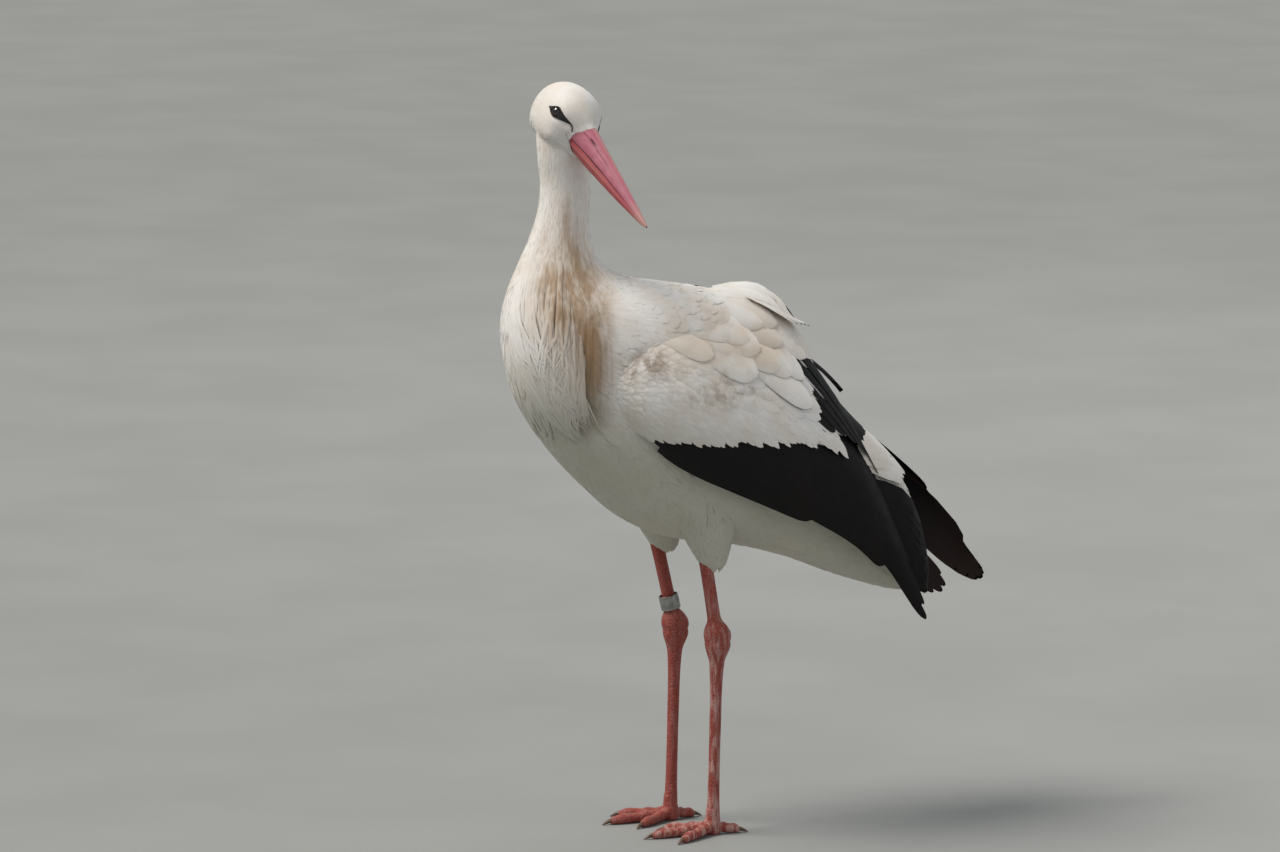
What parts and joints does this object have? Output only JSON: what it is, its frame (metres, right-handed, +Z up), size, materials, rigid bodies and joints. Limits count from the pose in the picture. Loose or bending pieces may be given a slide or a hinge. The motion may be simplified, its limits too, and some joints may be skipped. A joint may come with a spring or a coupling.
{
  "type": "white stork",
  "caption": "Life-size white stork standing on both feet with folded wings, looking over its left shoulder, bill pointing down.",
  "frame": {"origin": "on the ground, under the middle of the bird's outer box", "axes": "+Z up; -Y the way the breast points; +X the bird's left, the side it looks to"},
  "size_m": [0.28, 0.629, 0.8858],
  "materials": {
    "plumage": "soft white feathers, faintly cream and tan on the neck",
    "flight_feathers": "black feathers with a low sheen, worn to dark brown at the tips",
    "bill": "smooth red horn with a satin sheen",
    "eye": "wet, dark brown and black",
    "leg_scales": "red scaled skin, dusted with white",
    "claw": "dull brown horn",
    "ring_metal": "dull grey, worn, no marks"
  },
  "bodies": {
    "root": {"neck": "plumage", "trunk": "plumage", "tail": "plumage", "head": "plumage", "bill_upper": "bill", "bill_lower": "bill", "eye_left": "eye", "eye_right": "eye", "wing_left_secondaries": "flight_feathers", "wing_left_primaries": "flight_feathers", "wing_left_coverts": "plumage", "wing_left_tertials": "flight_feathers", "wing_right_secondaries": "flight_feathers", "wing_right_primaries": "flight_feathers", "wing_right_coverts": "plumage", "wing_right_tertials": "flight_feathers", "thigh_left": "plumage", "thigh_right": "plumage", "shin_left": "leg_scales", "shin_right": "leg_scales", "ankle_left": "leg_scales", "ankle_right": "leg_scales", "tarsus_left": "leg_scales", "tarsus_right": "leg_scales", "foot_left": "leg_scales", "foot_right": "leg_scales", "claw_left_inner": "claw", "claw_left_middle": "claw", "claw_left_outer": "claw", "claw_left_back": "claw", "claw_right_inner": "claw", "claw_right_middle": "claw", "claw_right_outer": "claw", "claw_right_back": "claw", "leg_ring": "ring_metal"}
  },
  "joints": []
}
